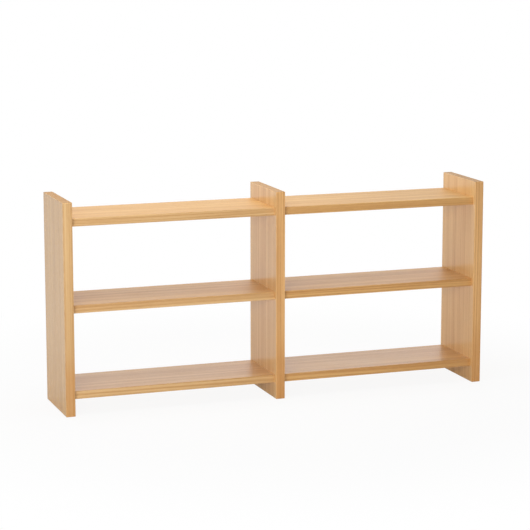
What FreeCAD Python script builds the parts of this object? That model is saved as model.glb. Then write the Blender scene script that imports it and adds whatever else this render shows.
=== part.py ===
"""Open wall shelf in solid oak: three uprights carry three tiers of shelf boards in two equal bays.

The boards are joined by glued dowels. Keyhole hanger plates are let into the outer uprights' back edges.
+X runs to the right, +Y to the wall and +Z up. The origin is under the middle of the shelf, on the floor.
Lengths are in millimetres.
"""

import FreeCAD, Part
import math
import os

import Sketcher

# Driving dimensions: name, value, what it measures.
SIZES = (
    ("width", 900, "overall width across the outer uprights"),
    ("depth", 160, "front to back of an upright"),
    ("upright_thickness", 19, "thickness of an upright"),
    ("shelf_thickness", 16, "thickness of a shelf board"),
    ("clear_height", 157, "free height between two tiers"),
    ("foot_height", 33, "floor to the underside of the bottom tier"),
    ("top_rise", 33, "top tier's upper face to the top of the uprights"),
    ("front_setback", 10, "shelf front behind the uprights' front edges"),
    ("back_setback", 5, "shelf back in front of the uprights' back edges"),
    ("edge_radius", 1, "eased edges of every board"),
    ("dowel_diameter", 8, "diameter of a dowel"),
    ("dowel_inset", 32, "shelf edge to the nearest dowel's axis"),
    ("dowel_chamfer", 1, "bevel on a dowel's ends"),
    ("flute_diameter", 1, "round glue flutes along a dowel"),
    ("socket_wall", 6, "wood left behind a dowel socket in an outer upright"),
    ("shelf_socket_depth", 28, "dowel socket in the end of a shelf board"),
    ("glue_gap", 0.1, "radial room round a dowel in its socket"),
    ("socket_end_gap", 1, "room past a dowel's end in a shelf board"),
    ("hanger_drop", 46, "top of an upright to the middle of its hanger plate"),
    ("plate_width", 14, "width of a hanger plate"),
    ("plate_length", 48, "height of a hanger plate"),
    ("plate_thickness", 1.5, "thickness of a hanger plate"),
    ("plate_sink", 0.5, "hanger plate below the upright's back edge"),
    ("plate_gap", 0.25, "room round a hanger plate in its recess"),
    ("keyhole_entry", 9, "round opening that a wall screw's head enters by"),
    ("keyhole_slot", 4.5, "width of the slot that the wall screw's neck slides up"),
    ("keyhole_travel", 10, "middle of the entry to the end of the slot's centre line"),
    ("head_room_depth", 8, "pocket behind a hanger plate"),
    ("head_room_gap", 1, "room round the keyhole's entry in that pocket"),
    ("screw_inset", 5, "end of a hanger plate to the nearest screw's axis"),
    ("screw_diameter", 3, "shank of a hanger screw"),
    ("screw_head", 6, "countersunk head of a hanger screw"),
    ("screw_length", 16, "overall length of a hanger screw"),
    ("screw_tip", 3, "pointed end of a hanger screw"),
    ("screw_gap", 0.05, "radial room round a hanger screw"),
    ("recess_length", 3.2, "arm to arm of the cross recess in a screw head"),
    ("recess_width", 0.9, "width of an arm of the cross recess"),
    ("recess_depth", 1.1, "depth of the cross recess"),
)

FLUTES = 10
COUNTERSINK_ANGLE = 90
QUARTER_TURN = 90
FULL_TURN = 360
TIERS = ("bottom", "middle", "top")
UPRIGHTS = ("left", "middle", "right")
BAYS = ("left", "right")

# Sizes that follow from the driving dimensions.
TIER_PITCH = "(Sizes.clear_height + Sizes.shelf_thickness)"
HEIGHT = f"(Sizes.foot_height + Sizes.shelf_thickness + {len(TIERS) - 1} * {TIER_PITCH} + Sizes.top_rise)"
BAY_WIDTH = f"((Sizes.width - {len(UPRIGHTS)} * Sizes.upright_thickness) / {len(BAYS)})"
BAY_PITCH = f"({BAY_WIDTH} + Sizes.upright_thickness)"
HALF_UPRIGHT = "(Sizes.upright_thickness / 2)"
BACK = "(Sizes.depth / 2)"
FRONT = f"(-{BACK})"
SHELF_FRONT = f"({FRONT} + Sizes.front_setback)"
SHELF_BACK = f"({BACK} - Sizes.back_setback)"
DOWEL_FRONT = f"({SHELF_FRONT} + Sizes.dowel_inset)"
DOWEL_BACK = f"({SHELF_BACK} - Sizes.dowel_inset)"
DOWEL_REACH = "(Sizes.shelf_socket_depth - Sizes.socket_end_gap)"
SOCKET = "(Sizes.dowel_diameter + 2 * Sizes.glue_gap)"
UPRIGHT_SOCKET_DEPTH = "(Sizes.upright_thickness - Sizes.socket_wall)"
HANGER_HEIGHT = f"({HEIGHT} - Sizes.hanger_drop)"
PLATE_FACE = f"({BACK} - Sizes.plate_sink)"
PLATE_SEAT_DEPTH = "(Sizes.plate_thickness + Sizes.plate_sink)"
PLATE_END_CENTRE = "((Sizes.plate_length - Sizes.plate_width) / 2)"
HALF_TRAVEL = "(Sizes.keyhole_travel / 2)"
SCREW_OFFSET = "(Sizes.plate_length / 2 - Sizes.screw_inset)"
SCREW_HOLE = "(Sizes.screw_diameter + 2 * Sizes.screw_gap)"

doc = FreeCAD.newDocument("wall_shelf")
sheet = doc.addObject("Spreadsheet::Sheet", "Sizes")
for row, (alias, number, meaning) in enumerate(SIZES, start=1):
    sheet.set(f"A{row}", alias)
    sheet.set(f"B{row}", str(number))
    sheet.set(f"C{row}", meaning)
    sheet.setAlias(f"B{row}", alias)
doc.recompute()

pieces = {}


def value(expression):
    """The number that an expression on the size sheet gives."""
    return float(sheet.evalExpression(expression))


def tier_bottom(tier):
    """Height of a tier's underside."""
    return f"(Sizes.foot_height + {TIERS.index(tier)} * {TIER_PITCH})"


def dowel_height(tier):
    """Height of a tier's dowels, in the middle of its boards."""
    return f"({tier_bottom(tier)} + Sizes.shelf_thickness / 2)"


def upright_middle(upright):
    """Middle of an upright's thickness, across the shelf."""
    return f"({UPRIGHTS.index(upright) - 1} * {BAY_PITCH})"


def new_body(name, solids, **base):
    """An empty piece that is to hold so many separate solids, placed by expressions for x, y and z."""
    body = doc.addObject("PartDesign::Body", name)
    body.Label = name
    for axis, expression in base.items():
        body.setExpression(f"Placement.Base.{axis}", expression)
    pieces[name] = (body, solids)
    return body


def origin_feature(body, role):
    """One of the body's own axes or planes."""
    return next(feature for feature in body.Origin.OriginFeatures if feature.Role == role)


def new_sketch(body, plane, name, offset=None):
    """A sketch on one of the body's planes, moved along the plane's normal by an expression."""
    sketch = body.newObject("Sketcher::SketchObject", name)
    sketch.AttachmentSupport = (origin_feature(body, plane), "")
    sketch.MapMode = "FlatFace"
    if offset:
        sketch.setExpression("AttachmentOffset.Base.z", offset)
    return sketch


def bind(sketch, kind, elements, expression):
    """A constraint of the sketch whose value follows an expression."""
    index = sketch.addConstraint(Sketcher.Constraint(kind, *elements, value(expression)))
    sketch.setExpression(f"Constraints[{index}]", expression)


def add_outline(sketch, corners):
    """A closed outline of straight sides through corners given as pairs of expressions."""
    points = [FreeCAD.Vector(value(across), value(up), 0) for across, up in corners]
    sides = [
        sketch.addGeometry(Part.LineSegment(point, points[(number + 1) % len(points)]))
        for number, point in enumerate(points)
    ]
    for number, side in enumerate(sides):
        following = sides[(number + 1) % len(sides)]
        sketch.addConstraint(Sketcher.Constraint("Coincident", side, 2, following, 1))
    for side, (across, up) in zip(sides, corners):
        bind(sketch, "DistanceX", (-1, 1, side, 1), across)
        bind(sketch, "DistanceY", (-1, 1, side, 1), up)


def add_rectangle(sketch, left, bottom, right, top):
    """A rectangle between four expressions."""
    add_outline(sketch, ((left, bottom), (right, bottom), (right, top), (left, top)))


def add_circle(sketch, across, up, diameter):
    """A circle about a point given by two expressions."""
    centre = FreeCAD.Vector(value(across), value(up), 0)
    circle = sketch.addGeometry(Part.Circle(centre, FreeCAD.Vector(0, 0, 1), value(diameter) / 2))
    bind(sketch, "Diameter", (circle,), diameter)
    bind(sketch, "DistanceX", (-1, 1, circle, 3), across)
    bind(sketch, "DistanceY", (-1, 1, circle, 3), up)


def add_obround(sketch, low, high, diameter):
    """An upright slot with round ends on the sketch's vertical axis, between two end centres."""
    radius = value(diameter) / 2
    bottom, top = value(low), value(high)

    def end(height, start):
        circle = Part.Circle(FreeCAD.Vector(0, height, 0), FreeCAD.Vector(0, 0, 1), radius)
        return sketch.addGeometry(Part.ArcOfCircle(circle, start, start + math.pi))

    def side(across):
        line = Part.LineSegment(FreeCAD.Vector(across, top, 0), FreeCAD.Vector(across, bottom, 0))
        return sketch.addGeometry(line)

    upper, lower = end(top, 0), end(bottom, math.pi)
    left, right = side(-radius), side(radius)
    for arc, arc_end, line, line_end in (
        (upper, 2, left, 1),
        (lower, 1, left, 2),
        (lower, 2, right, 2),
        (upper, 1, right, 1),
    ):
        sketch.addConstraint(Sketcher.Constraint("Tangent", arc, arc_end, line, line_end))
    for arc, height in ((upper, high), (lower, low)):
        sketch.addConstraint(Sketcher.Constraint("PointOnObject", arc, 3, -2))
        bind(sketch, "DistanceY", (-1, 1, arc, 3), height)
    bind(sketch, "Diameter", (upper,), diameter)


def add_pad(body, sketch, length):
    """Material from the sketch, along its normal."""
    pad = body.newObject("PartDesign::Pad", f"{body.Name}_pad")
    pad.Profile = sketch
    pad.setExpression("Length", length)
    doc.recompute()
    return pad


def add_pocket(body, sketch, length=None, along_normal=False):
    """A cut from the sketch, against its normal unless told otherwise, and right through without a length."""
    before = body.Shape.Volume
    pocket = body.newObject("PartDesign::Pocket", f"{sketch.Name}_cut")
    pocket.Profile = sketch
    pocket.Reversed = along_normal
    if length:
        pocket.setExpression("Length", length)
    else:
        pocket.Type = "ThroughAll"
    doc.recompute()
    if not pocket.Shape.Volume < before:
        raise RuntimeError(f"{pocket.Name} cuts nothing")
    return pocket


def named_edges(feature, chosen):
    """The names of the feature's edges that are chosen by a test."""
    return [f"Edge{number}" for number, edge in enumerate(feature.Shape.Edges, start=1) if chosen(edge)]


def runs_lengthwise(edge):
    """Whether an edge runs along a shelf board."""
    return edge.BoundBox.XLength > edge.BoundBox.YLength + edge.BoundBox.ZLength


def ease_edges(body, base, chosen):
    """Rounds the chosen edges of a board."""
    fillet = body.newObject("PartDesign::Fillet", f"{body.Name}_eased")
    fillet.Base = (base, named_edges(base, chosen))
    fillet.setExpression("Radius", "Sizes.edge_radius")
    doc.recompute()


def add_twin(body, axis, spacing):
    """A second copy of the whole piece so far, at a distance along an axis."""
    twin = body.newObject("PartDesign::LinearPattern", f"{body.Name}_pair")
    twin.TransformMode = "Whole shape"
    twin.Direction = (origin_feature(body, axis), [""])
    twin.setExpression("Length", spacing)
    twin.Occurrences = 2
    body.Tip = twin
    doc.recompute()


def turn_copies(body, feature, axis, angle, count):
    """Copies of a cut turned about an axis."""
    pattern = body.newObject("PartDesign::PolarPattern", f"{feature.Name}_turned")
    pattern.Originals = [feature]
    pattern.Axis = (origin_feature(body, axis), [""])
    pattern.Angle = angle
    pattern.Occurrences = count
    body.Tip = pattern
    doc.recompute()


def make_upright(upright):
    """An upright board with its dowel sockets, blind in the outer uprights and through the middle one."""
    body = new_body(f"{upright}_upright", 1, x=upright_middle(upright))
    outline = new_sketch(body, "XY_Plane", f"{body.Name}_outline")
    add_rectangle(outline, f"(-{HALF_UPRIGHT})", FRONT, HALF_UPRIGHT, BACK)
    board = add_pad(body, outline, HEIGHT)
    ease_edges(body, board, lambda edge: True)

    opens_left = upright == "right"
    face = f"(-{HALF_UPRIGHT})" if opens_left else HALF_UPRIGHT
    sockets = new_sketch(body, "YZ_Plane", f"{body.Name}_sockets", face)
    for tier in TIERS:
        for dowel_row in (DOWEL_FRONT, DOWEL_BACK):
            add_circle(sockets, dowel_row, dowel_height(tier), SOCKET)
    depth = None if upright == "middle" else UPRIGHT_SOCKET_DEPTH
    add_pocket(body, sockets, depth, along_normal=opens_left)
    return body


def add_screw_holes(body, middle, face=None, depth=None):
    """Holes for a plate's two screws, countersunk from its face, and right through without a depth."""
    places = new_sketch(body, "XZ_Plane", f"{body.Name}_screw_places", face)
    for sign in ("-", "+"):
        add_circle(places, "0", f"{middle} {sign} {SCREW_OFFSET}", SCREW_HOLE)
    doc.recompute()
    before = body.Shape.Volume
    holes = body.newObject("PartDesign::Hole", f"{body.Name}_screw_holes")
    holes.Profile = places
    holes.Reversed = True
    holes.ThreadType = "None"
    holes.HoleCutType = "Countersink"
    holes.HoleCutCountersinkAngle = COUNTERSINK_ANGLE
    holes.setExpression("Diameter", SCREW_HOLE)
    holes.setExpression("HoleCutDiameter", "Sizes.screw_head")
    if depth:
        holes.DepthType = "Dimension"
        holes.DrillPoint = "Flat"
        holes.setExpression("Depth", depth)
    else:
        holes.DepthType = "ThroughAll"
    doc.recompute()
    if not holes.Shape.Volume < before:
        raise RuntimeError(f"{holes.Name} cuts nothing")


def let_in_hanger(body):
    """The seat, head room and screw holes of a hanger plate in an upright's back edge."""
    # The sketches' plane faces the front, so the back edge lies behind it.
    back_edge = f"(-{BACK})"
    seat = new_sketch(body, "XZ_Plane", f"{body.Name}_seat", back_edge)
    seat_ends = (f"{HANGER_HEIGHT} - {PLATE_END_CENTRE}", f"{HANGER_HEIGHT} + {PLATE_END_CENTRE}")
    add_obround(seat, *seat_ends, "Sizes.plate_width + 2 * Sizes.plate_gap")
    add_pocket(body, seat, PLATE_SEAT_DEPTH, along_normal=True)

    head_room = new_sketch(body, "XZ_Plane", f"{body.Name}_head_room", back_edge)
    room_ends = (f"{HANGER_HEIGHT} - {HALF_TRAVEL}", f"{HANGER_HEIGHT} + {HALF_TRAVEL}")
    add_obround(head_room, *room_ends, "Sizes.keyhole_entry + 2 * Sizes.head_room_gap")
    add_pocket(body, head_room, f"{PLATE_SEAT_DEPTH} + Sizes.head_room_depth", along_normal=True)

    add_screw_holes(body, HANGER_HEIGHT, f"(-{PLATE_FACE})", "Sizes.screw_length")


def make_shelf(tier, bay):
    """A shelf board with dowel sockets in both ends."""
    left_end = f"(-{BAY_WIDTH} - {HALF_UPRIGHT})" if bay == "left" else HALF_UPRIGHT
    body = new_body(f"{tier}_{bay}_shelf", 1, x=left_end, z=tier_bottom(tier))
    outline = new_sketch(body, "YZ_Plane", f"{body.Name}_outline")
    add_rectangle(outline, SHELF_FRONT, "0", SHELF_BACK, "Sizes.shelf_thickness")
    board = add_pad(body, outline, BAY_WIDTH)
    ease_edges(body, board, runs_lengthwise)

    for end, offset in (("left", None), ("right", BAY_WIDTH)):
        sockets = new_sketch(body, "YZ_Plane", f"{body.Name}_{end}_sockets", offset)
        for dowel_row in (DOWEL_FRONT, DOWEL_BACK):
            add_circle(sockets, dowel_row, "Sizes.shelf_thickness / 2", SOCKET)
        add_pocket(body, sockets, "Sizes.shelf_socket_depth", along_normal=end == "left")


def make_dowels(tier, upright):
    """The pair of fluted dowels that join a tier to an upright."""
    socket_floor = f"({HALF_UPRIGHT} - {UPRIGHT_SOCKET_DEPTH})"
    length = f"({UPRIGHT_SOCKET_DEPTH} + {DOWEL_REACH})"
    if upright == "left":
        start = f"({upright_middle(upright)} + {socket_floor})"
    elif upright == "right":
        start = f"({upright_middle(upright)} - {socket_floor} - {length})"
    else:
        length = f"(Sizes.upright_thickness + 2 * {DOWEL_REACH})"
        start = f"(-{length} / 2)"

    body = new_body(f"{tier}_{upright}_dowels", 2, x=start, y=DOWEL_FRONT, z=dowel_height(tier))
    section = new_sketch(body, "YZ_Plane", f"{body.Name}_section")
    add_circle(section, "0", "0", "Sizes.dowel_diameter")
    rod = add_pad(body, section, length)

    bevel = body.newObject("PartDesign::Chamfer", f"{body.Name}_bevel")
    bevel.Base = (rod, named_edges(rod, lambda edge: edge.Closed))
    bevel.setExpression("Size", "Sizes.dowel_chamfer")
    doc.recompute()

    flute = new_sketch(body, "YZ_Plane", f"{body.Name}_flute")
    add_circle(flute, "0", "Sizes.dowel_diameter / 2", "Sizes.flute_diameter")
    turn_copies(body, add_pocket(body, flute, along_normal=True), "X_Axis", FULL_TURN, FLUTES)
    add_twin(body, "Y_Axis", f"{DOWEL_BACK} - {DOWEL_FRONT}")


def make_hanger_plate(upright):
    """A steel plate with a keyhole and two countersunk screw holes, seated in the upright's back edge."""
    placed = {"x": upright_middle(upright), "y": PLATE_FACE, "z": HANGER_HEIGHT}
    body = new_body(f"{upright}_hanger_plate", 1, **placed)
    outline = new_sketch(body, "XZ_Plane", f"{body.Name}_outline")
    add_obround(outline, f"-{PLATE_END_CENTRE}", PLATE_END_CENTRE, "Sizes.plate_width")
    add_pad(body, outline, "Sizes.plate_thickness")

    entry = new_sketch(body, "XZ_Plane", f"{body.Name}_entry")
    add_circle(entry, "0", f"-{HALF_TRAVEL}", "Sizes.keyhole_entry")
    add_pocket(body, entry, along_normal=True)
    slot = new_sketch(body, "XZ_Plane", f"{body.Name}_slot")
    add_obround(slot, f"-{HALF_TRAVEL}", HALF_TRAVEL, "Sizes.keyhole_slot")
    add_pocket(body, slot, along_normal=True)
    add_screw_holes(body, "0")


def make_hanger_screws(upright):
    """The two countersunk screws of a hanger plate, with cross recesses."""
    lower_screw = f"({HANGER_HEIGHT} - {SCREW_OFFSET})"
    placed = {"x": upright_middle(upright), "y": PLATE_FACE, "z": lower_screw}
    body = new_body(f"{upright}_hanger_screws", 2, **placed)
    head_radius, shank_radius = "Sizes.screw_head / 2", "Sizes.screw_diameter / 2"
    head_height = f"({head_radius} - {shank_radius})"
    profile = new_sketch(body, "XY_Plane", f"{body.Name}_profile")
    corners = (
        ("0", "0"),
        (head_radius, "0"),
        (shank_radius, f"-{head_height}"),
        (shank_radius, "Sizes.screw_tip - Sizes.screw_length"),
        ("0", "-Sizes.screw_length"),
    )
    add_outline(profile, corners)
    screw = body.newObject("PartDesign::Revolution", f"{body.Name}_turned")
    screw.Profile = profile
    screw.ReferenceAxis = (profile, ["V_Axis"])
    screw.Angle = FULL_TURN
    doc.recompute()

    arm = new_sketch(body, "XZ_Plane", f"{body.Name}_recess")
    half_length, half_width = "Sizes.recess_length / 2", "Sizes.recess_width / 2"
    add_rectangle(arm, f"-{half_length}", f"-{half_width}", half_length, half_width)
    recess = add_pocket(body, arm, "Sizes.recess_depth", along_normal=True)
    turn_copies(body, recess, "Y_Axis", QUARTER_TURN, 2)
    add_twin(body, "Z_Axis", f"2 * {SCREW_OFFSET}")


def check_pieces():
    """Stops the build if a feature failed or a piece is not so many sound solids."""
    doc.recompute()
    for thing in doc.Objects:
        if {"Invalid", "Error"} & set(thing.State):
            raise RuntimeError(f"{thing.Name} failed: {thing.State}")
    for name, (body, solids) in pieces.items():
        shape = body.Shape
        if shape.isNull() or not shape.isValid() or len(shape.Solids) != solids:
            raise RuntimeError(f"{name} is not {solids} sound solids")


for upright in UPRIGHTS:
    board = make_upright(upright)
    if upright != "middle":
        let_in_hanger(board)
        make_hanger_plate(upright)
        make_hanger_screws(upright)
for tier in TIERS:
    for bay in BAYS:
        make_shelf(tier, bay)
    for upright in UPRIGHTS:
        make_dowels(tier, upright)

check_pieces()
os.makedirs("parts", exist_ok=True)
for name, (body, _) in pieces.items():
    body.Shape.exportStep(f"parts/{name}.step")
print(f"{len(pieces)} pieces, {value('Sizes.width'):g} x {value('Sizes.depth'):g} x {value(HEIGHT):g} mm")
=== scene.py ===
"""Looks of the open oak wall shelf: lacquered boards, beech dowels, zinc-plated hangers, white studio.

Every board is cut from a log of its own. Growth rings, pores and rays are worked out in the log, so the
figure runs on from a face round to the edges and the ends. Lengths are in metres, apart from the lens.
"""

import math
from typing import NamedTuple

import bpy
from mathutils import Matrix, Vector


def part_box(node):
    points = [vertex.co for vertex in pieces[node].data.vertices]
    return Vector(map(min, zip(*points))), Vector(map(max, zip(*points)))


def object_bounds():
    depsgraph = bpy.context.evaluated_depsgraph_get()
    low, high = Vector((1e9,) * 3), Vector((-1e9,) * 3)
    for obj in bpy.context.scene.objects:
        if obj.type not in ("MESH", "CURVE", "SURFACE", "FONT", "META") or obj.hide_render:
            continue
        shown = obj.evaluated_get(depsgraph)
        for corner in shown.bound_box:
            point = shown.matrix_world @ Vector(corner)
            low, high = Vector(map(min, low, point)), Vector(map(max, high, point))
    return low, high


class Pattern(NamedTuple):
    """Noise: grains per metre along three axes, levels of detail, and how strong the finer levels are."""

    grains: tuple
    detail: float = 2.0
    roughness: float = 0.5


class Softbox(NamedTuple):
    """A rectangular soft light: where it is, what it points at, its size and its power in watts."""

    place: tuple
    target: tuple
    width: float
    height: float
    power: float


def srgb(red, green, blue):
    """A colour given as display values from 0 to 255, as the shaders take it."""
    def linear(level):
        share = level / 255
        return share / 12.92 if share <= 0.04045 else ((share + 0.055) / 1.055) ** 2.4
    return (linear(red), linear(green), linear(blue), 1.0)


TIERS = ("bottom", "middle", "top")
UPRIGHTS = ("left", "middle", "right")
SIDES = ("left", "right")

# Camera: where it stands as seen from its aim, and how far that aim is from the shelf's middle.
CAMERA_AZIMUTH = math.radians(-19.6)
CAMERA_ELEVATION = math.radians(10.36)
CAMERA_DISTANCE = 4.17
AIM_RIGHT = -0.005
AIM_UP = 0.050
LENS_MILLIMETRES = 137.1
SENSOR_MILLIMETRES = 36.0

# Studio: the strength of the light all round, and the soft boxes.
WHITE = (1.0, 1.0, 1.0, 1.0)
AMBIENT_LIGHT = 0.25
SOFTBOXES = {
    "overhead": Softbox(place=(-0.25, -0.1, 1.3), target=(-0.1, 0, 0.4), width=0.8, height=0.8, power=6.4),
    "front_left": Softbox(place=(-1.7, -2.5, 0.7), target=(0, 0, 0.2), width=1.6, height=1.2, power=46.5),
    "behind": Softbox(place=(0, 2.0, 1.5), target=(0, 0, 0.3), width=4.0, height=1.6, power=22.5),
    "right": Softbox(place=(2.4, 0.3, 0.4), target=(0.45, 0, 0.25), width=1.2, height=0.8, power=12.0),
}

# Floor: half its width, how far it lies under the shelf, and its paint.
FLOOR_HALF_WIDTH = 12.0
FLOOR_DROP = 0.0003
FLOOR_PAINT = (0.95, 0.95, 0.95, 1.0)

# Share of the floor's look that light and shadow make, seen by the camera and mirrored in the lacquer.
SEEN_SHADOW = 0.09
MIRRORED_SHADOW = 0.8

# Distances from the floor's middle up to which that share is whole, and from which on the floor is white.
SHADOW_FADES = (0.50, 1.00)

# Growth of the oak: a ring's width, how many rings good and bad years shift it by, and the way to the pith.
RING_WIDTH = 0.0040
RING_SPREAD = 0.9
PITH_DISTANCE = 0.21

# How far the trunk's slow and quick bends push the rings.
SLOW_DRIFT = 0.0075
QUICK_DRIFT = 0.0016

# Early wood of the palest year, and where it sets in and fades within a ring, as shares of the ring.
PALEST_YEAR = 0.2
EARLY_WOOD_SETS_IN = (0.0, 0.10)
EARLY_WOOD_FADES = (0.05, 0.62)

# Distance along the log, and number of years, from one stretch of it to the next.
STRETCH_LENGTH = 1.7
STRETCH_YEARS = 37

# Stretch of the log that each board is cut from.
LOG_STRETCH = {
    "left_upright": 55,
    "middle_upright": 101,
    "right_upright": 75,
    "bottom_left_shelf": 85,
    "bottom_right_shelf": 95,
    "middle_left_shelf": 168,
    "middle_right_shelf": 79,
    "top_left_shelf": 53,
    "top_right_shelf": 144,
}

# Degrees that the rings lean against a board's width: in the first board, and more in each next one.
UPRIGHT_TILT = 24
UPRIGHT_TILT_STEP = 5
SHELF_TILT = 20
SHELF_TILT_STEP = 4

# Good and bad years, outwards from the pith. The second axis is the stretch of the log.
GROWTH_SPURTS = Pattern((190.0, 1.0, 1.0), detail=1.0)

# Bends of the trunk, along the board, across its width and through its thickness.
SLOW_BENDS = Pattern((2.2, 9.0, 9.0), detail=1.0)
QUICK_BENDS = Pattern((9.0, 70.0, 70.0))

# Marks in the oak and its lacquer, along the log, outwards from its pith and round it.
BANDS = Pattern((1.6, 60.0, 60.0))
STREAKS = Pattern((2.6, 210.0, 210.0))
FIBRES = Pattern((28.0, 900.0, 900.0), detail=3.0, roughness=0.6)
PORES = Pattern((110.0, 3300.0, 3300.0), detail=1.0)
RAYS = Pattern((60.0, 60.0, 1500.0), detail=1.0)
RUBBED_SPOTS = Pattern((45.0, 45.0, 45.0))
LACQUER_CLOUDS = Pattern((14.0, 22.0, 22.0), detail=3.0)

# Noise levels from which pores, rays and rubbed spots show, and from which they show in full.
PORES_SHOW = (0.56, 0.66)
RAYS_SHOW = (0.62, 0.72)
RUBBED_SPOTS_SHOW = (0.40, 0.66)

# Share of the pores that is left where the wood is all late wood.
LATE_WOOD_PORES = 0.15

# Part of the normal from which a surface counts as an end or a long edge, and from which it does in full.
FACING_COUNTS = (0.55, 0.90)

# How much each mark darkens the oak, what they add up to on average, and how far from there the wood is
# all light or all dark.
EARLY_WOOD_DARKENS = 0.40
BANDS_DARKEN = 0.80
STREAKS_DARKEN = 0.62
FIBRES_DARKEN = 0.24
MEAN_DARKNESS = 0.87
DARKNESS_SPAN = 0.40

# How strongly those marks show, on a board's faces and on its long edges.
UPRIGHT_CONTRAST = (0.66, 1.10)
SHELF_CONTRAST = (1.15, 1.42)

# Colours of the oak, and how much of their own colour the rays and the pores lay over the wood.
OAK_LIGHT = srgb(229, 185, 117)
OAK_DARK = srgb(197, 144, 78)
# Colour of the painted shade at the lower ends of the uprights' long edges.
OAK_PAINTED_SHADE = srgb(200, 138, 72)
OAK_RAY = srgb(236, 197, 135)
OAK_PORE = srgb(150, 99, 50)
RAY_SHARE = 0.25
PORE_SHARE = 0.38

# Colour of a board's faces and of its long edges, next to plain oak. Some of them are painted sheen.
# Painted sheen: paler, whiter faces of the middle and right uprights, in place of the lacquer's reflection.
PAINTED_SHEEN_FACE = (1.10, 1.20, 1.52, 1.0)
# Painted sheen: paler, whiter long edges of the left-hand boards, in place of the front light's reflection.
PAINTED_SHEEN_EDGE = (1.04, 1.13, 1.48, 1.0)
FAINT_PAINTED_SHEEN_EDGE = (0.98, 1.02, 1.28, 1.0)
ROSY = (1.08, 1.02, 1.07, 1.0)
# Darker long edges of the right-hand shelves.
DARKER_EDGE = (0.935, 0.875, 0.86, 1.0)
FACE_SHEEN_TINT = {"middle_upright": PAINTED_SHEEN_FACE, "right_upright": PAINTED_SHEEN_FACE}
EDGE_TINT = {
    "left_upright": PAINTED_SHEEN_EDGE,
    "middle_upright": ROSY,
    "right_upright": ROSY,
    "bottom_left_shelf": PAINTED_SHEEN_EDGE,
    "bottom_right_shelf": DARKER_EDGE,
    "middle_left_shelf": FAINT_PAINTED_SHEEN_EDGE,
    "middle_right_shelf": DARKER_EDGE,
    "top_left_shelf": PAINTED_SHEEN_EDGE,
    "top_right_shelf": DARKER_EDGE,
}

# Painted shade at the lower ends of the uprights' long edges, darker and more orange where they mirror no
# white floor: its share, and the heights from an upright's middle where it starts and is whole.
LOW_END_PAINTED_SHADE = 0.48
LOW_END_SHADE_RISES = (-0.07, -0.15)

# Ends of the boards, which drink the lacquer: their colour, its share, and what some marks add to that.
OAK_END = srgb(152, 106, 60)
END_SHARE = 0.30
EARLY_WOOD_END_SHARE = 0.40
FIBRE_END_SHARE = 0.35

# Arrises rubbed by hands: their colour, its share, and how far off the wear starts to fade and is gone.
OAK_WORN = OAK_RAY
WORN_SHARE = 0.30
WEAR_FADES = (0.0003, 0.0018)

# Lacquer: its refraction and its roughness. The uprights are smoother, and higher shelves duller from use.
LACQUER_IOR = 1.5
UPRIGHT_SHEEN = {"left": 0.25, "middle": 0.17, "right": 0.17}
SHELF_SHEEN = {"bottom": 0.35, "middle": 0.47, "top": 0.58}

# What each mark adds to the lacquer's roughness, and what fibres and clouds add on average.
FIBRE_DULLNESS = 0.08
CLOUD_DULLNESS = 0.08
PORE_DULLNESS = 0.10
END_DULLNESS = 0.45
WEAR_DULLNESS = 0.12
MEAN_DULLNESS = (FIBRE_DULLNESS + CLOUD_DULLNESS) / 2

# Relief of the oak: how deep the marks go and how high they stand, and the bump's strength and height.
PORE_DEPTH = 1.0
EARLY_WOOD_DEPTH = 0.25
FIBRE_HEIGHT = 0.35
OAK_RELIEF = (0.35, 0.00012)

# Beech of the dowels, which lie along X.
BEECH_LIGHT = srgb(222, 184, 140)
BEECH_DARK = srgb(190, 148, 104)
BEECH_FLECK = OAK_PORE
BEECH_FIBRES = Pattern((40.0, 1400.0, 1400.0), detail=3.0)
BEECH_FLECKS = Pattern((500.0, 2600.0, 2600.0))
BEECH_FIBRES_DARKEN = (0.25, 0.80)
BEECH_FLECKS_SHOW = (0.58, 0.68)
BEECH_FLECK_SHARE = 0.35
BEECH_ROUGHNESS = 0.5
BEECH_FIBRE_DULLNESS = 0.2
BEECH_RELIEF = (0.3, 0.0001)

# Zinc plating, yellow on the screws. Its drawing marks run along Z on the plates and along Y on the screws.
ZINC_LIGHT = srgb(206, 208, 210)
ZINC_DARK = srgb(160, 164, 168)
YELLOW_ZINC_LIGHT = srgb(216, 198, 146)
YELLOW_ZINC_DARK = srgb(178, 152, 98)
PLATE_MARKS = Pattern((900.0, 900.0, 60.0), detail=3.0)
SCREW_MARKS = Pattern((900.0, 200.0, 900.0), detail=3.0)
PLATING_CLOUDS = Pattern((350.0, 350.0, 350.0), detail=3.0)
ZINC_CLOUDS_DARKEN = 0.6
ZINC_MARKS_DARKEN = 0.4
ZINC_ROUGHNESS = 0.20
ZINC_CLOUD_DULLNESS = 0.18
ZINC_MARK_DULLNESS = 0.10
ZINC_RELIEF = (0.25, 0.00003)


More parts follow.
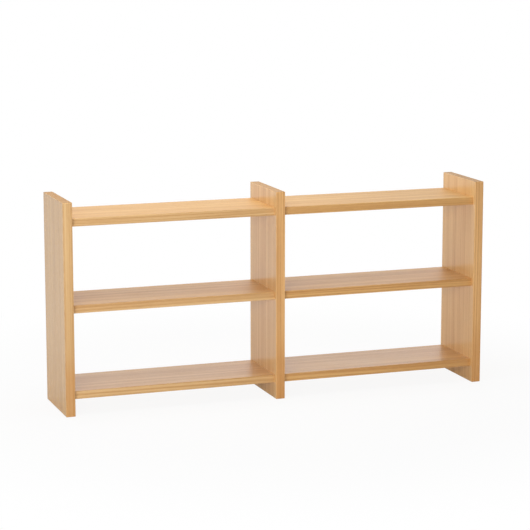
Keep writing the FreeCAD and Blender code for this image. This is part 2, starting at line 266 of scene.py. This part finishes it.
class Tree:
    """Short calls for building a node tree. A value is a socket to link or a constant to set."""

    # The colour sockets of a mix node come after those for numbers and vectors.
    MIX_FIRST = 6
    MIX_SECOND = 7
    MIX_RESULT = 2

    def __init__(self, tree):
        self.tree = tree
        tree.nodes.clear()

    def node(self, kind, **settings):
        node = self.tree.nodes.new(kind)
        for name, setting in settings.items():
            setattr(node, name, setting)
        return node

    def feed(self, socket, value):
        if isinstance(value, bpy.types.NodeSocket):
            self.tree.links.new(value, socket)
        else:
            socket.default_value = value

    def fill(self, node, values):
        for name, value in values.items():
            self.feed(node.inputs[name], value)
        return node

    def math(self, operation, *values):
        node = self.node("ShaderNodeMath", operation=operation)
        for socket, value in zip(node.inputs, values):
            self.feed(socket, value)
        return node.outputs[0]

    def invert(self, value):
        return self.math("SUBTRACT", 1.0, value)

    def weigh(self, *pairs, base=0.0):
        """A base plus values times weights."""
        result = base
        for value, weight in pairs:
            result = self.math("MULTIPLY_ADD", value, weight, result)
        return result

    def ease(self, value, low, high):
        """From 0 at low to 1 at high, with soft ends."""
        node = self.node("ShaderNodeMapRange", interpolation_type="SMOOTHSTEP")
        self.fill(node, {"Value": value, "From Min": low, "From Max": high})
        return node.outputs[0]

    def vector(self, x, y, z):
        return self.fill(self.node("ShaderNodeCombineXYZ"), {"X": x, "Y": y, "Z": z}).outputs[0]

    def vector_math(self, operation, *values):
        node = self.node("ShaderNodeVectorMath", operation=operation)
        for socket, value in zip(node.inputs, values):
            self.feed(socket, value)
        return node.outputs["Value" if operation == "LENGTH" else "Vector"]

    def parts(self, vector):
        node = self.node("ShaderNodeSeparateXYZ")
        self.feed(node.inputs[0], vector)
        return node.outputs[:]

    def noise(self, place, pattern):
        """Noise from 0 to 1."""
        values = {
            "Vector": self.vector_math("MULTIPLY", place, pattern.grains),
            "Scale": 1.0,
            "Detail": pattern.detail,
            "Roughness": pattern.roughness,
        }
        return self.fill(self.node("ShaderNodeTexNoise"), values).outputs[0]

    def mix(self, factor, first, second, blend="MIX"):
        node = self.node("ShaderNodeMix", data_type="RGBA", blend_type=blend)
        self.feed(node.inputs[0], factor)
        self.feed(node.inputs[self.MIX_FIRST], first)
        self.feed(node.inputs[self.MIX_SECOND], second)
        return node.outputs[self.MIX_RESULT]

    def stain(self, under, colour, mark, share):
        """A share of a colour over the one under it, where the mark is."""
        return self.mix(self.math("MULTIPLY", mark, share), under, colour)

    def bump(self, height, strength, distance):
        values = {"Height": height, "Strength": strength, "Distance": distance}
        return self.fill(self.node("ShaderNodeBump"), values).outputs[0]

    def surface(self, values):
        return self.fill(self.node("ShaderNodeBsdfPrincipled"), values)

    def mix_shaders(self, factor, first, second):
        node = self.node("ShaderNodeMixShader")
        self.feed(node.inputs[0], factor)
        self.feed(node.inputs[1], first.outputs[0])
        self.feed(node.inputs[2], second.outputs[0])
        return node

    def close(self, shader, target="ShaderNodeOutputMaterial"):
        """Links a shader to the tree's output."""
        self.feed(self.node(target).inputs["Surface"], shader.outputs[0])


class Board(NamedTuple):
    """A point on a board, as sockets.

    Its place is given along the grain, across the board's width and through its thickness, from its middle.
    end and edge are how squarely the surface faces along the grain and across the width, from 0 to 1.
    arris is the distance from the nearest arris.
    """

    along: bpy.types.NodeSocket
    across: bpy.types.NodeSocket
    through: bpy.types.NodeSocket
    end: bpy.types.NodeSocket
    edge: bpy.types.NodeSocket
    arris: bpy.types.NodeSocket


class Figure(NamedTuple):
    """The marks in the wood at a point, as sockets from 0 to about 1."""

    early_wood: bpy.types.NodeSocket
    bands: bpy.types.NodeSocket
    streaks: bpy.types.NodeSocket
    fibres: bpy.types.NodeSocket
    pores: bpy.types.NodeSocket
    rays: bpy.types.NodeSocket


def new_material(name):
    """An empty material and its tree."""
    material = bpy.data.materials.new(name)
    material.use_nodes = True
    return material, Tree(material.node_tree)


def dress(piece, material):
    """Gives a CAD piece one material."""
    piece.data.materials.clear()
    piece.data.materials.append(material)


def board_space(tree, node, grain_axis):
    """A point on one board, whose grain runs along the X or the Z axis."""
    low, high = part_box(node)
    coordinates = tree.node("ShaderNodeTexCoord").outputs
    x, y, z = tree.parts(tree.vector_math("SUBTRACT", coordinates["Object"], (low + high) / 2))
    normal_x, normal_y, normal_z = tree.parts(coordinates["Normal"])
    along, through, normal_along = (z, x, normal_z) if grain_axis == "Z" else (x, z, normal_x)
    end = tree.ease(tree.math("ABSOLUTE", normal_along), *FACING_COUNTS)
    edge = tree.ease(tree.math("ABSOLUTE", normal_y), *FACING_COUNTS)

    # On the surface the least depth is nothing, so the middle one of the three is the way to an arris.
    depths = []
    for half, place in zip((high - low) / 2, (x, y, z)):
        depths.append(tree.math("SUBTRACT", half, tree.math("ABSOLUTE", place)))
    smaller = tree.math("MINIMUM", depths[0], depths[1])
    larger = tree.math("MAXIMUM", depths[0], depths[1])
    arris = tree.math("MAXIMUM", smaller, tree.math("MINIMUM", larger, depths[2]))
    return Board(along, y, through, end, edge, arris)


def log_space(tree, board, tilt, stretch):
    """A board's places in its log: along it, outwards from its pith and round the pith.

    The pith lies off the board's edge, tilt leans the rings against the board's width, and stretch says
    which stretch of the log it is. The trunk's bends push the rings about, and all the grain with them.
    """
    length = tree.math("ADD", board.along, STRETCH_LENGTH * stretch)
    straight = tree.vector(length, board.across, board.through)
    slow = tree.noise(straight, SLOW_BENDS)
    quick = tree.noise(straight, QUICK_BENDS)
    pith_across = tree.math("ADD", board.across, PITH_DISTANCE * math.cos(tilt))
    pith_through = tree.math("ADD", board.through, PITH_DISTANCE * math.sin(tilt))
    from_pith = tree.vector_math("LENGTH", tree.vector(pith_across, pith_through, 0.0))
    radius = tree.weigh((slow, SLOW_DRIFT), (quick, QUICK_DRIFT), base=from_pith)
    around = tree.weigh((board.through, math.cos(tilt)), (board.across, -math.sin(tilt)))
    return length, radius, around


def growth_rings(tree, radius, stretch):
    """The early wood of the growth rings, from 0 to 1: dark at a ring's start and fading outwards."""
    growth = tree.noise(tree.vector(radius, stretch, 0.0), GROWTH_SPURTS)
    rings = tree.weigh((radius, 1 / RING_WIDTH), (growth, 2 * RING_SPREAD))
    year = tree.math("ADD", tree.math("FLOOR", rings), STRETCH_YEARS * stretch)
    chance = tree.fill(tree.node("ShaderNodeTexWhiteNoise", noise_dimensions="1D"), {"W": year})
    depth = tree.weigh((chance.outputs["Value"], 1.0 - PALEST_YEAR), base=PALEST_YEAR)
    phase = tree.math("FRACT", rings)
    fading = tree.invert(tree.ease(phase, *EARLY_WOOD_FADES))
    ring = tree.math("MULTIPLY", fading, tree.ease(phase, *EARLY_WOOD_SETS_IN))
    return tree.math("MULTIPLY", ring, depth)


def wood_figure(tree, place, early_wood):
    """Broad bands and narrower streaks, fine fibres, pores in the early wood and rays across the rings."""
    bands = tree.noise(place, BANDS)
    streaks = tree.noise(place, STREAKS)
    fibres = tree.noise(place, FIBRES)
    pores = tree.ease(tree.noise(place, PORES), *PORES_SHOW)
    pores = tree.math("MULTIPLY", pores, tree.math("ADD", LATE_WOOD_PORES, early_wood))
    rays = tree.ease(tree.noise(place, RAYS), *RAYS_SHOW)
    return Figure(early_wood, bands, streaks, fibres, pores, rays)


def figured_wood(tree, board, figure, contrast):
    """The colour of plain oak with its bands, streaks, fibres and early wood."""
    marks = (
        (figure.early_wood, EARLY_WOOD_DARKENS),
        (figure.bands, BANDS_DARKEN),
        (figure.streaks, STREAKS_DARKEN),
        (figure.fibres, FIBRES_DARKEN),
    )
    on_face, on_edge = contrast
    strength = tree.weigh((board.edge, on_edge - on_face), base=on_face)
    darkness = tree.math("MULTIPLY", tree.weigh(*marks, base=-MEAN_DARKNESS), strength)
    return tree.mix(tree.ease(darkness, -DARKNESS_SPAN, DARKNESS_SPAN), OAK_LIGHT, OAK_DARK)


def board_tint(tree, wood, node, grain_axis, board):
    """The wood with a board's tints, partly painted sheen, and painted shade low on the uprights' long
    edges.
    """
    # Painted sheen on the faces of the middle and right uprights.
    if node in FACE_SHEEN_TINT:
        face = tree.invert(tree.math("MAXIMUM", board.edge, board.end))
        wood = tree.mix(face, wood, FACE_SHEEN_TINT[node], "MULTIPLY")
    # Long edges: painted sheen on the left-hand boards, darker on the right-hand shelves.
    wood = tree.mix(board.edge, wood, EDGE_TINT[node], "MULTIPLY")
    # Painted shade: the uprights' long edges darker and more orange towards their lower ends.
    if grain_axis == "Z":
        low_end_shade = tree.math("MULTIPLY", board.edge, tree.ease(board.along, *LOW_END_SHADE_RISES))
        wood = tree.stain(wood, OAK_PAINTED_SHADE, low_end_shade, LOW_END_PAINTED_SHADE)
    return wood


def arris_wear(tree, board, place):
    """How far handling has rubbed the arrises, here and there, from 0 to 1."""
    rubbed = tree.ease(tree.noise(place, RUBBED_SPOTS), *RUBBED_SPOTS_SHOW)
    return tree.math("MULTIPLY", rubbed, tree.invert(tree.ease(board.arris, *WEAR_FADES)))


def oak(node, grain_axis, tilt, sheen, contrast):
    """Lacquered oak for one board.

    tilt leans the growth rings, sheen is the lacquer's roughness, and contrast is how strongly the figure
    shows on the faces and on the long edges.
    """
    material, tree = new_material(f"oak_{node}")
    stretch = LOG_STRETCH[node]
    board = board_space(tree, node, grain_axis)
    length, radius, around = log_space(tree, board, tilt, stretch)
    place = tree.vector(length, radius, around)
    figure = wood_figure(tree, place, growth_rings(tree, radius, stretch))
    clouds = tree.noise(place, LACQUER_CLOUDS)
    wear = arris_wear(tree, board, place)

    wood = figured_wood(tree, board, figure, contrast)
    wood = board_tint(tree, wood, node, grain_axis, board)
    wood = tree.stain(wood, OAK_RAY, figure.rays, RAY_SHARE)
    wood = tree.stain(wood, OAK_PORE, figure.pores, PORE_SHARE)
    end_marks = ((figure.early_wood, EARLY_WOOD_END_SHARE), (figure.fibres, FIBRE_END_SHARE))
    wood = tree.stain(wood, OAK_END, board.end, tree.weigh(*end_marks, base=END_SHARE))
    wood = tree.stain(wood, OAK_WORN, wear, WORN_SHARE)

    dullness = (
        (figure.fibres, FIBRE_DULLNESS),
        (clouds, CLOUD_DULLNESS),
        (figure.pores, PORE_DULLNESS),
        (board.end, END_DULLNESS),
        (wear, WEAR_DULLNESS),
    )
    relief = (
        (figure.pores, -PORE_DEPTH),
        (figure.fibres, FIBRE_HEIGHT),
        (figure.early_wood, -EARLY_WOOD_DEPTH),
    )
    tree.close(tree.surface({
        "Base Color": wood,
        "Roughness": tree.weigh(*dullness, base=sheen - MEAN_DULLNESS),
        "IOR": LACQUER_IOR,
        "Normal": tree.bump(tree.weigh(*relief), *OAK_RELIEF),
    }))
    return material


def beech():
    """Bare turned beech for the dowels."""
    material, tree = new_material("beech")
    place = tree.node("ShaderNodeTexCoord").outputs["Object"]
    fibres = tree.noise(place, BEECH_FIBRES)
    flecks = tree.ease(tree.noise(place, BEECH_FLECKS), *BEECH_FLECKS_SHOW)
    wood = tree.mix(tree.ease(fibres, *BEECH_FIBRES_DARKEN), BEECH_LIGHT, BEECH_DARK)
    tree.close(tree.surface({
        "Base Color": tree.stain(wood, BEECH_FLECK, flecks, BEECH_FLECK_SHARE),
        "Roughness": tree.weigh((fibres, BEECH_FIBRE_DULLNESS), base=BEECH_ROUGHNESS),
        "Normal": tree.bump(fibres, *BEECH_RELIEF),
    }))
    return material


def zinc(name, light, dark, mark_pattern):
    """Zinc-plated steel with fine drawing marks and cloudy plating."""
    material, tree = new_material(name)
    place = tree.node("ShaderNodeTexCoord").outputs["Object"]
    marks = tree.noise(place, mark_pattern)
    clouds = tree.noise(place, PLATING_CLOUDS)
    darkness = tree.weigh((clouds, ZINC_CLOUDS_DARKEN), (marks, ZINC_MARKS_DARKEN))
    dullness = ((clouds, ZINC_CLOUD_DULLNESS), (marks, ZINC_MARK_DULLNESS))
    tree.close(tree.surface({
        "Base Color": tree.mix(darkness, light, dark),
        "Metallic": 1.0,
        "Roughness": tree.weigh(*dullness, base=ZINC_ROUGHNESS),
        "Normal": tree.bump(marks, *ZINC_RELIEF),
    }))
    return material


def seen_directly(tree):
    """1 for a ray that shows the background: from the camera, off a gloss or through glass."""
    rays = tree.node("ShaderNodeLightPath").outputs
    shown = tree.math("MAXIMUM", rays["Is Camera Ray"], rays["Is Glossy Ray"])
    return tree.math("MAXIMUM", shown, rays["Is Transmission Ray"])


def build_world():
    """A white background, with a weaker white light all round."""
    world = bpy.data.worlds.new("studio")
    bpy.context.scene.world = world
    world.use_nodes = True
    tree = Tree(world.node_tree)
    fill_light = tree.fill(tree.node("ShaderNodeBackground"), {"Color": WHITE, "Strength": AMBIENT_LIGHT})
    backdrop = tree.fill(tree.node("ShaderNodeBackground"), {"Color": WHITE, "Strength": 1.0})
    tree.close(tree.mix_shaders(seen_directly(tree), fill_light, backdrop), "ShaderNodeOutputWorld")


def white_floor():
    """White paint under the shelf, which turns into plain white further out."""
    material, tree = new_material("white_floor")
    paint = tree.fill(tree.node("ShaderNodeBsdfDiffuse"), {"Color": FLOOR_PAINT})
    glow = tree.fill(tree.node("ShaderNodeEmission"), {"Color": WHITE, "Strength": 1.0})
    camera_ray = tree.node("ShaderNodeLightPath").outputs["Is Camera Ray"]
    share = tree.weigh((camera_ray, SEEN_SHADOW - MIRRORED_SHADOW), base=MIRRORED_SHADOW)
    distance = tree.vector_math("LENGTH", tree.node("ShaderNodeTexCoord").outputs["Object"])
    closeness = tree.invert(tree.ease(distance, *SHADOW_FADES))
    plain = tree.invert(tree.math("MULTIPLY", share, closeness))
    tree.close(tree.mix_shaders(tree.math("MULTIPLY", seen_directly(tree), plain), paint, glow))
    return material


def build_floor():
    """A square floor just under the shelf."""
    square = ((-1, -1), (1, -1), (1, 1), (-1, 1))
    corners = [(x * FLOOR_HALF_WIDTH, y * FLOOR_HALF_WIDTH, -FLOOR_DROP) for x, y in square]
    mesh = bpy.data.meshes.new("floor")
    mesh.from_pydata(corners, [], [(0, 1, 2, 3)])
    mesh.materials.append(white_floor())
    floor = bpy.data.objects.new("floor", mesh)
    bpy.context.scene.collection.objects.link(floor)


def point_at(thing, direction):
    """Turns a light or a camera so that it looks in a direction."""
    thing.rotation_euler = direction.to_track_quat("-Z", "Y").to_euler()


def add_softbox(name, softbox):
    """A soft box that lights the shelf and stays out of the picture."""
    light = bpy.data.lights.new(name, "AREA")
    light.shape = "RECTANGLE"
    light.size = softbox.width
    light.size_y = softbox.height
    light.energy = softbox.power
    lamp = bpy.data.objects.new(name, light)
    lamp.location = softbox.place
    point_at(lamp, Vector(softbox.target) - Vector(softbox.place))
    lamp.visible_camera = False
    bpy.context.scene.collection.objects.link(lamp)


def add_camera(centre):
    """The camera, at the photograph's angle and framing."""
    back = Vector((
        math.sin(CAMERA_AZIMUTH) * math.cos(CAMERA_ELEVATION),
        -math.cos(CAMERA_AZIMUTH) * math.cos(CAMERA_ELEVATION),
        math.sin(CAMERA_ELEVATION),
    ))
    right = Vector((math.cos(CAMERA_AZIMUTH), math.sin(CAMERA_AZIMUTH), 0.0))
    aim = centre + AIM_RIGHT * right + AIM_UP * back.cross(right)
    lens = bpy.data.cameras.new("camera")
    lens.sensor_width = SENSOR_MILLIMETRES
    lens.lens = LENS_MILLIMETRES
    camera = bpy.data.objects.new("camera", lens)
    camera.location = aim + CAMERA_DISTANCE * back
    point_at(camera, -back)
    bpy.context.scene.collection.objects.link(camera)
    bpy.context.scene.camera = camera


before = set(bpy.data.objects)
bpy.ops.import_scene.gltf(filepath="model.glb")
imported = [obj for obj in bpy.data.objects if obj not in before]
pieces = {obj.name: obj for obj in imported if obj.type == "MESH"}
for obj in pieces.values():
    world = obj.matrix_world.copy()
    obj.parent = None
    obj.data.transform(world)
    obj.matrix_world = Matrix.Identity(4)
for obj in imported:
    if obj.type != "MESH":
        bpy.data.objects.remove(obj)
cad_low, cad_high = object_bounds()

for number, upright in enumerate(UPRIGHTS):
    name = f"{upright}_upright"
    tilt = math.radians(UPRIGHT_TILT + UPRIGHT_TILT_STEP * number)
    dress(pieces[name], oak(name, "Z", tilt, UPRIGHT_SHEEN[upright], UPRIGHT_CONTRAST))
for number, (tier, bay) in enumerate((tier, bay) for tier in TIERS for bay in SIDES):
    name = f"{tier}_{bay}_shelf"
    tilt = math.radians(SHELF_TILT + SHELF_TILT_STEP * number)
    dress(pieces[name], oak(name, "X", tilt, SHELF_SHEEN[tier], SHELF_CONTRAST))

dowel_wood = beech()
plate_metal = zinc("plate_zinc", ZINC_LIGHT, ZINC_DARK, PLATE_MARKS)
screw_metal = zinc("screw_zinc", YELLOW_ZINC_LIGHT, YELLOW_ZINC_DARK, SCREW_MARKS)
for upright in UPRIGHTS:
    for tier in TIERS:
        dress(pieces[f"{tier}_{upright}_dowels"], dowel_wood)
for side in SIDES:
    dress(pieces[f"{side}_hanger_plate"], plate_metal)
    dress(pieces[f"{side}_hanger_screws"], screw_metal)

build_world()
build_floor()
for name, softbox in SOFTBOXES.items():
    add_softbox(name, softbox)
add_camera((cad_low + cad_high) / 2)
bpy.context.scene.view_settings.view_transform = "Standard"
